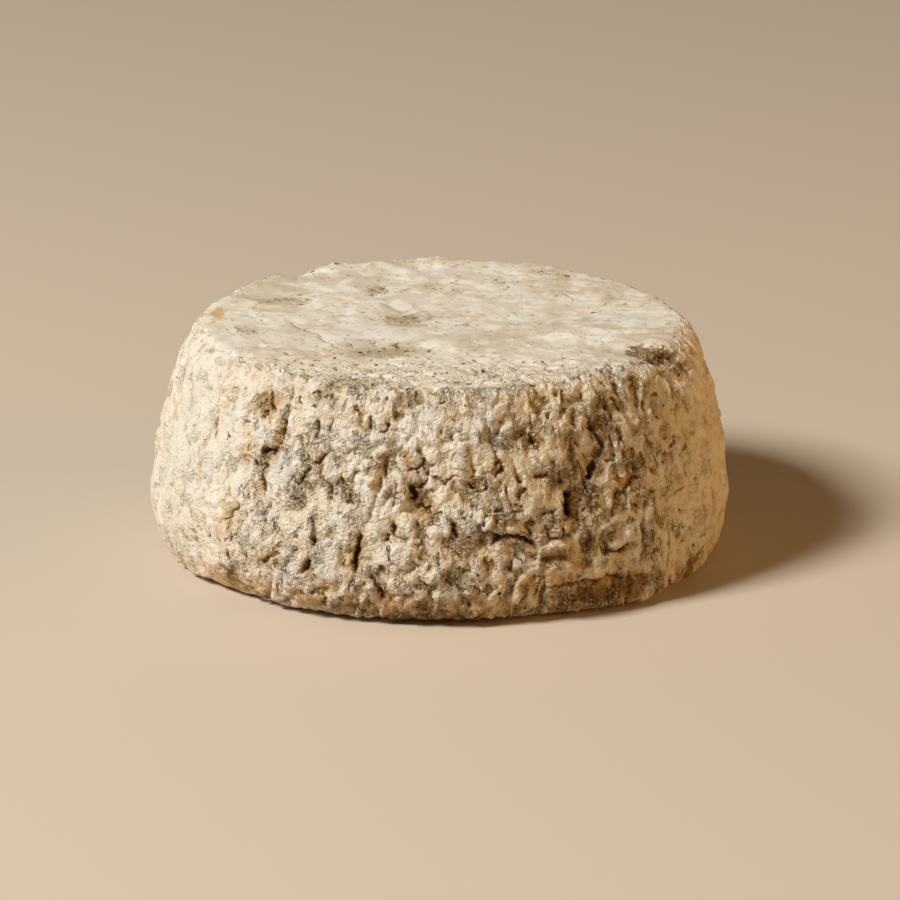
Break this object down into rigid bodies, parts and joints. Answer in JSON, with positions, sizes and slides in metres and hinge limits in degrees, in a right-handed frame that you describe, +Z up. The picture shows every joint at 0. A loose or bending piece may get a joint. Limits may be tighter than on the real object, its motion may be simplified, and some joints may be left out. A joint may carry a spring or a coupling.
{
  "type": "truffle pecorino wheel",
  "caption": "Small drum-shaped wheel of aged truffle pecorino with leaning bulged wall, rounded rim and wrinkled natural rind, on a flat underside.",
  "frame": {"origin": "on the wheel's axis, in the plane of the flat underside that it rests on", "axes": "+Z up along the wheel's axis, -Y towards the side seen from the front"},
  "size_m": [0.1505, 0.1507, 0.0608],
  "materials": {
    "rind": "dry matt natural rind: ivory lumps, ochre and dark brown creases, grey-blue bloom"
  },
  "bodies": {
    "root": {"cheese_wheel": "rind"}
  },
  "joints": []
}
